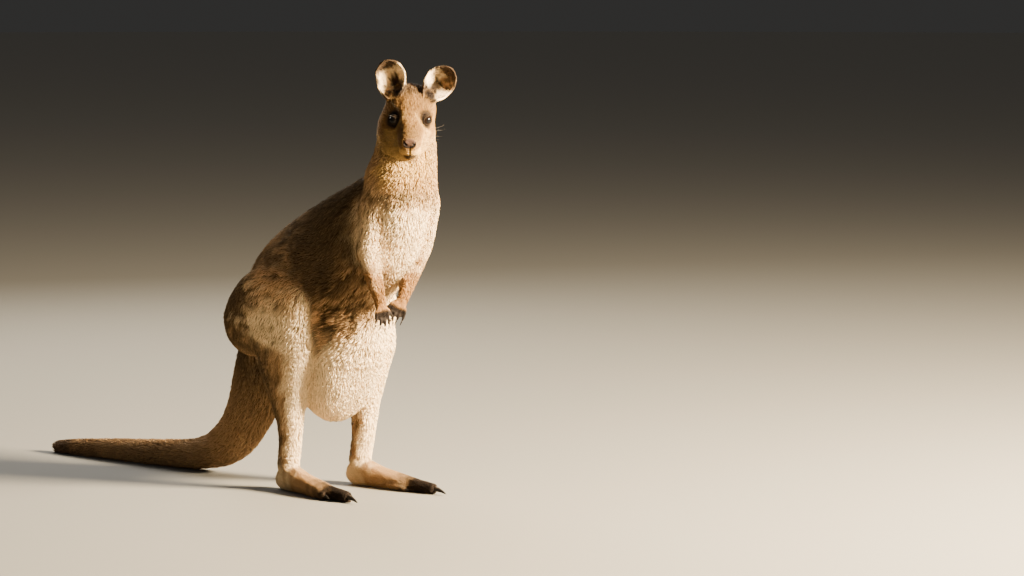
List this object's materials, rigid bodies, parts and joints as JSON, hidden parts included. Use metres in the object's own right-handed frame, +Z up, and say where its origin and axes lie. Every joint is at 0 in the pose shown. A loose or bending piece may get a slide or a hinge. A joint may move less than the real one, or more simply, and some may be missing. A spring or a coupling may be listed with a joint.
{
  "type": "kangaroo",
  "caption": "Life-size still model of a grey kangaroo doe with a full pouch, standing alert on both hind feet and the tail, head turned aside.",
  "frame": {"origin": "on the floor under the middle of the whole animal's box", "axes": "+Z up; -Y the way the hips and feet face; +X towards the animal's left"},
  "size_m": [0.3642, 1.4254, 1.1149],
  "materials": {
    "coat": "short dense grey-brown fur, cream on the chest, belly and inner legs, darker on the back and tail",
    "eye": "wet dark brown",
    "claw": "dark horn",
    "nose": "bare dark skin"
  },
  "bodies": {
    "root": {"abdomen": "coat", "chest": "coat", "ear_left": "coat", "ear_right": "coat", "eye_left": "eye", "eye_right": "eye", "finger_claw_left_1": "claw", "finger_claw_left_2": "claw", "finger_claw_left_3": "claw", "finger_claw_left_4": "claw", "finger_claw_left_5": "claw", "finger_claw_right_1": "claw", "finger_claw_right_2": "claw", "finger_claw_right_3": "claw", "finger_claw_right_4": "claw", "finger_claw_right_5": "claw", "foot_left": "coat", "foot_right": "coat", "forearm_left": "coat", "forearm_right": "coat", "hand_left": "coat", "hand_right": "coat", "head": "coat", "neck": "coat", "pouch": "coat", "shank_left": "coat", "shank_right": "coat", "tail_base": "coat", "tail_middle": "coat", "tail_tip": "coat", "thigh_left": "coat", "thigh_right": "coat", "toe_claw_left_2": "claw", "toe_claw_left_3": "claw", "toe_claw_left_4": "claw", "toe_claw_left_5": "claw", "toe_claw_right_2": "claw", "toe_claw_right_3": "claw", "toe_claw_right_4": "claw", "toe_claw_right_5": "claw", "upper_arm_left": "coat", "upper_arm_right": "coat"}
  },
  "joints": []
}
